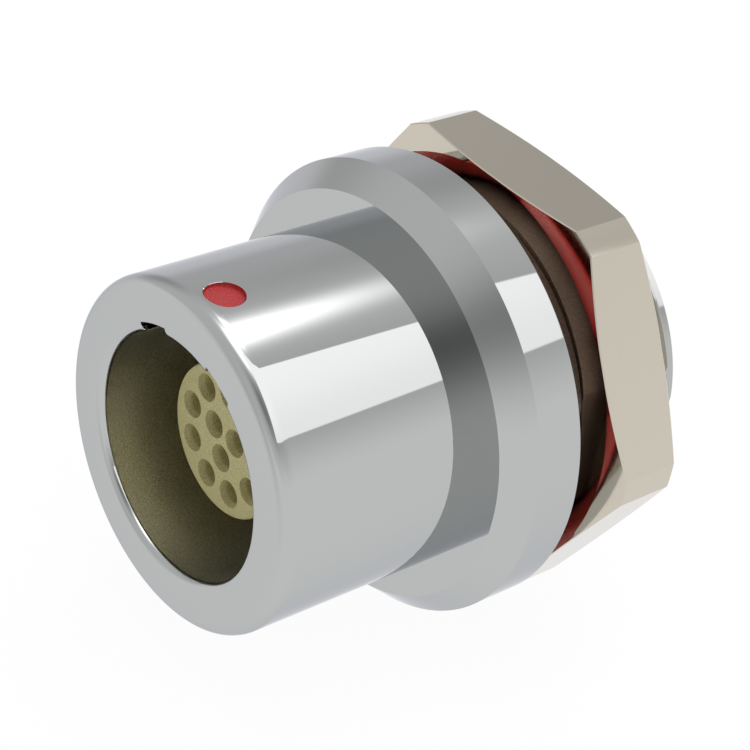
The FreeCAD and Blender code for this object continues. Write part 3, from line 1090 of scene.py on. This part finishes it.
# %% [markdown]
# ## Pieces that stay as CAD made them
# The insert sits in a carrier of two half shells, and behind it come the rear insulator and the
# retaining ring. Only the carrier's front can be seen, at the bottom of the bore, so the CAD shapes
# do. They get the finishes of their neighbours.

# %% Finish the CAD pieces
for node, material in (("insulator_rear", natural_peek), ("retaining_ring", sprung_nickel),
                       ("insert_carrier_upper", sprung_nickel), ("insert_carrier_lower", sprung_nickel)):
    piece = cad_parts[node]
    piece.data.materials.clear()
    piece.data.materials.append(material)
    print("finished", node)

# %% [markdown]
# ## The camera
# The camera stands where the photographer's did: to the right of the mating face and above it, a
# little rolled. The three directions are the camera's own right, up and backward axes.

# %% Place the camera
camera_data = bpy.data.cameras.new("camera")
camera_data.lens = 101.43
camera_data.sensor_width = 36
camera = bpy.data.objects.new("camera", camera_data)
right = (0.61422, 0.77478, 0.14985)
up = (-0.53078, 0.26509, 0.80498)
back = (0.58396, -0.57397, 0.57407)
aim = Matrix([right, up, back]).transposed()
camera.matrix_world = Matrix.Translation((0.0666, -0.0688, 0.0665)) @ aim.to_4x4()
camera_data.clip_start = 0.005
camera_data.clip_end = 20
bpy.context.scene.collection.objects.link(camera)
bpy.context.scene.camera = camera
print("camera stands", round(1000 * camera.matrix_world.translation.length), "mm from the origin")

# %% [markdown]
# ## The studio
# Mirror-bright metal shows its surroundings, so the studio is painted as a dome. It is white from
# the horizon down and light grey above. A tall, sharp-edged softbox stands at the right. The other
# lamps and flags are round and soft: a key lamp high behind the flange, a wide lamp overhead, and
# dimmer places on the left and where the photographer stands. Directions are an azimuth from the
# mating side towards +X and a height above the horizon, both in degrees.

# %% Directions and soft edges
world = bpy.data.worlds.new("studio")
world.use_nodes = True
bpy.context.scene.world = world
dome = world.node_tree
dome.nodes.clear()
direction = add(dome, "ShaderNodeTexCoord").outputs["Generated"]
along = add(dome, "ShaderNodeSeparateXYZ", {"Vector": direction}).outputs


def work_out(operation, first, second=0.0):
    return add(dome, "ShaderNodeMath", {0: first, 1: second}, operation=operation).outputs[0]


def ramp(value, start, end, low=0.0, high=1.0):
    """A smooth step from low to high between start and end."""
    return add(dome, "ShaderNodeMapRange",
               {"Value": value, "From Min": start, "From Max": end, "To Min": low, "To Max": high},
               interpolation_type="SMOOTHSTEP").outputs["Result"]


def painted(light, mask, strength):
    """Mixes a strength into the dome where the mask is 1."""
    mix = add(dome, "ShaderNodeMix", {"Factor": mask, "A": light, "B": strength}, data_type="FLOAT")
    return mix.outputs["Result"]


azimuth = work_out("DEGREES", work_out("ARCTAN2", along["X"], work_out("MULTIPLY", along["Y"], -1.0)))
height = work_out("DEGREES", work_out("ARCSINE", along["Z"]))


def sides(centre, half_width, soft, lean=0.0):
    """1 within half_width of an azimuth. The soft edges lean by so much for each degree of height."""
    middle = work_out("ADD", work_out("MULTIPLY", height, lean), centre)
    off = add(dome, "ShaderNodeMath", {0: work_out("SUBTRACT", azimuth, middle), 1: 180.0, 2: -180.0},
              operation="WRAP").outputs[0]
    half_edge = soft / 2
    return ramp(work_out("ABSOLUTE", off), half_width - half_edge, half_width + half_edge, 1.0, 0.0)


def spot(turn, lift, size):
    """A round, soft-edged spot about size degrees in radius."""
    a, e = math.radians(turn), math.radians(lift)
    centre = (math.cos(e) * math.sin(a), -math.cos(e) * math.cos(a), math.sin(e))
    facing = add(dome, "ShaderNodeVectorMath", {0: direction, 1: centre},
                 operation="DOT_PRODUCT").outputs["Value"]
    fall = work_out("DIVIDE", work_out("SUBTRACT", facing, 1.0), 1 - math.cos(math.radians(size)))
    return work_out("EXPONENT", fall)


print("directions ready in the dome:", len(dome.nodes), "nodes")

# %% [markdown]
# The dome is painted from the back to the front: the sky, the right-hand side, which darkens with
# height, the soft spots, and last the softbox. Its lower edge follows the part's axis, so it is cut
# at a roll about that axis and at a height, and its two sides lean. Camera rays see plain white,
# like the backdrop of the photograph.

# %% Paint the dome
light = ramp(height, -4.0, 10.0, 1.0, 0.77)
light = painted(light, sides(100.0, 61.0, 50.0), ramp(height, 4.0, 40.0, 1.0, 0.6))
for azimuth_at, height_at, size, strength in (
        (-148.0, 62.0, 7.7, 11.0),   # the key lamp, high behind the flange
        (-44.0, 86.0, 14.0, 5.0),    # the wide lamp overhead
        (38.0, 43.0, 20.0, 0.3),     # the photographer's dark corner
        (-141.0, 28.0, 13.0, 0.54),  # two dim places on the left
        (-98.0, 20.0, 20.0, 0.5),
        (-15.0, -5.0, 20.0, 0.7)):   # the floor's shade at the photographer's feet
    light = painted(light, spot(azimuth_at, height_at, size), strength)
roll = work_out("DEGREES", work_out("ARCTAN2", along["Z"], along["X"]))
softbox = work_out("MULTIPLY", sides(96.1, 48.0, 0.8, 0.36), ramp(roll, 33.7, 34.7))
softbox = work_out("MULTIPLY", softbox, ramp(height, 28.0, 28.9))
light = painted(light, softbox, ramp(height, 30.0, 58.0, 1.56, 1.78))
ray = add(dome, "ShaderNodeLightPath").outputs["Is Camera Ray"]
light = painted(light, ray, 1.0)
backdrop = add(dome, "ShaderNodeBackground", {"Color": (1, 1, 1, 1), "Strength": light})
add(dome, "ShaderNodeOutputWorld", {"Surface": backdrop.outputs[0]})
print("dome nodes:", len(dome.nodes))

# %% [markdown]
# ## The floor
# A plain white table just under the flange. The camera sees it as white as the backdrop, with only
# a trace of its shading, so that the part still casts a faint shadow. Mirrors look through it at
# the dome, which is just as white there.

# %% Lay the floor
table_white, tree = new_material("white table")
paper = add(tree, "ShaderNodeBsdfDiffuse", {"Color": colour("#F2F2F2")}).outputs[0]
glow = add(tree, "ShaderNodeEmission", {"Color": (1, 1, 1, 1), "Strength": 1.0}).outputs[0]
path = add(tree, "ShaderNodeLightPath").outputs
seen = add(tree, "ShaderNodeMath", {0: path["Is Camera Ray"], 1: 0.95},
           operation="MULTIPLY").outputs[0]
top = add(tree, "ShaderNodeMixShader", {0: seen, 1: paper, 2: glow}).outputs[0]
through = add(tree, "ShaderNodeBsdfTransparent").outputs[0]
top = add(tree, "ShaderNodeMixShader", {0: path["Is Glossy Ray"], 1: top, 2: through}).outputs[0]
add(tree, "ShaderNodeOutputMaterial", {"Surface": top})

FLOOR_REACH = 3000
FLOOR_GAP = 0.02
floor_z = cad_low.z / MM - FLOOR_GAP
floor_skin = Skin()
floor_skin.faces.append(tuple(floor_skin.ring(
    [(x * FLOOR_REACH, y * FLOOR_REACH, floor_z) for x, y in ((-1, -1), (1, -1), (1, 1), (-1, 1))])))
floor = to_object("floor", floor_skin, table_white)
